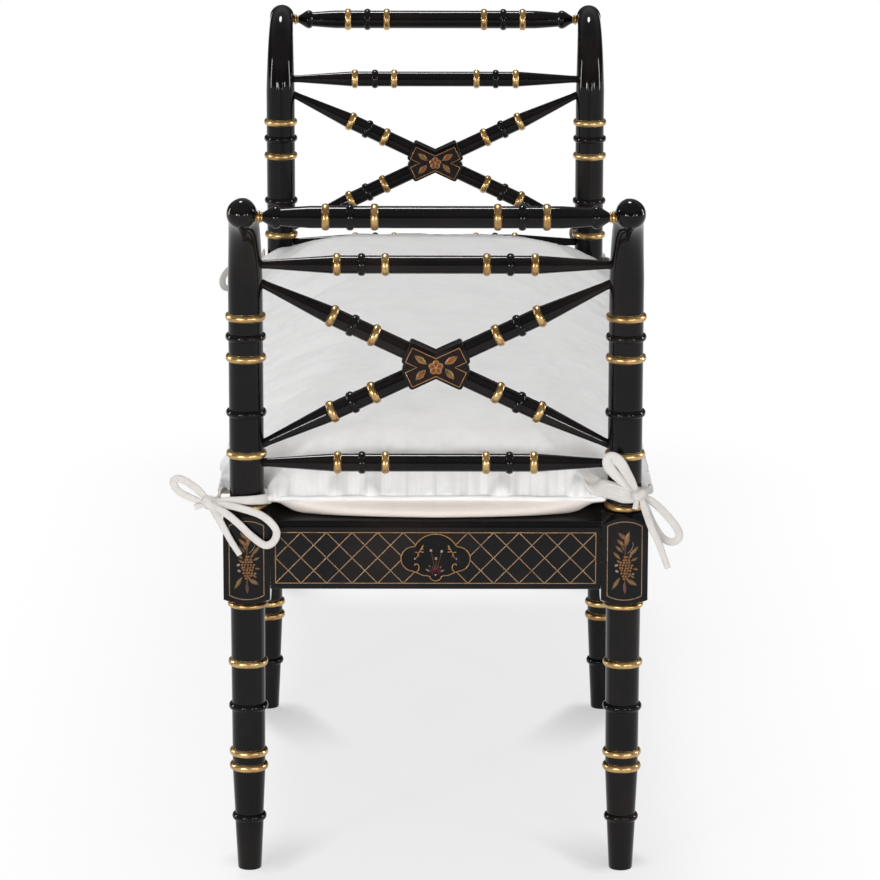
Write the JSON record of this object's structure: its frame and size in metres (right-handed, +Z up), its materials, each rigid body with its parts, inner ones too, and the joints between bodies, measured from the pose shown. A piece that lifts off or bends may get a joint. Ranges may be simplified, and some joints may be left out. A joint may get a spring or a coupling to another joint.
{
  "type": "window bench",
  "caption": "Long window bench in black lacquer and gilt: ring-turned tapering legs, out-swept arms with crossed spindles, lattice-painted rails and a tied seat cushion.",
  "frame": {"origin": "on the floor under the middle of the bench", "axes": "+X along the seat towards the right end, +Y across the seat towards the back, +Z up"},
  "size_m": [1.4574, 0.5724, 0.7826],
  "materials": {
    "black_lacquer": "high-gloss black lacquer with painted gilt ornament",
    "stained_board": "dark stained bare wood",
    "off_white_cloth": "plain woven off-white cotton",
    "gilt": "burnished gilding on turned rings"
  },
  "bodies": {
    "root": {"leg_front_left": "black_lacquer", "leg_front_middle": "black_lacquer", "leg_front_right": "black_lacquer", "leg_back_left": "black_lacquer", "leg_back_middle": "black_lacquer", "leg_back_right": "black_lacquer", "arm_post_front_left": "black_lacquer", "arm_post_back_left": "black_lacquer", "roll_rail_left": "black_lacquer", "upper_rail_left": "black_lacquer", "lower_rail_left": "black_lacquer", "cross_block_left": "black_lacquer", "spindle_upper_front_left": "black_lacquer", "spindle_upper_back_left": "black_lacquer", "spindle_lower_front_left": "black_lacquer", "spindle_lower_back_left": "black_lacquer", "end_seat_rail_left": "black_lacquer", "side_seat_rail_front_left": "black_lacquer", "side_seat_rail_back_left": "black_lacquer", "deck_cleat_left": "stained_board", "deck_cleat_front_left": "stained_board", "deck_cleat_back_left": "stained_board", "arm_post_front_right": "black_lacquer", "arm_post_back_right": "black_lacquer", "roll_rail_right": "black_lacquer", "upper_rail_right": "black_lacquer", "lower_rail_right": "black_lacquer", "cross_block_right": "black_lacquer", "spindle_upper_front_right": "black_lacquer", "spindle_upper_back_right": "black_lacquer", "spindle_lower_front_right": "black_lacquer", "spindle_lower_back_right": "black_lacquer", "end_seat_rail_right": "black_lacquer", "side_seat_rail_front_right": "black_lacquer", "side_seat_rail_back_right": "black_lacquer", "deck_cleat_right": "stained_board", "deck_cleat_front_right": "stained_board", "deck_cleat_back_right": "stained_board", "cross_rail": "stained_board", "seat_deck": "black_lacquer", "seat_cushion": "off_white_cloth", "tie_front_left": "off_white_cloth", "tie_front_right": "off_white_cloth", "tie_back_left": "off_white_cloth", "tie_back_right": "off_white_cloth"}
  },
  "joints": []
}
